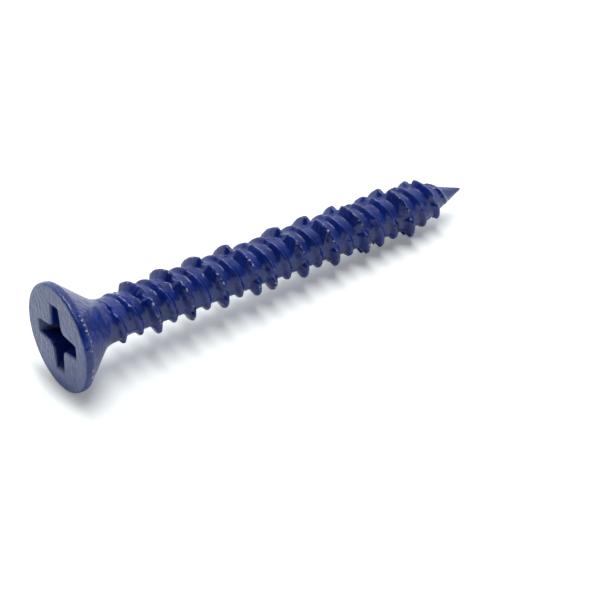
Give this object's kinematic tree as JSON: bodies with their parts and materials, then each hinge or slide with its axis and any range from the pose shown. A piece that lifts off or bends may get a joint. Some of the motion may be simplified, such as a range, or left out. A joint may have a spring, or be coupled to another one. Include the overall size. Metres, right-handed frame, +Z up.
{
  "type": "concrete screw",
  "caption": "Blue coated flat head concrete screw with a cross recess, a notched high and low twin thread and a sharp point, lying at rest.",
  "frame": {"origin": "middle of the screw's box, on the floor it lies on", "axes": "+X from the head toward the point, +Z up, the screw leaning a little point down because its head is wider than its thread"},
  "size_m": [0.0574, 0.0128, 0.0129],
  "materials": {
    "blue_coat": "thick glossy blue coating over steel"
  },
  "bodies": {
    "root": {"concrete_screw": "blue_coat"}
  },
  "joints": []
}
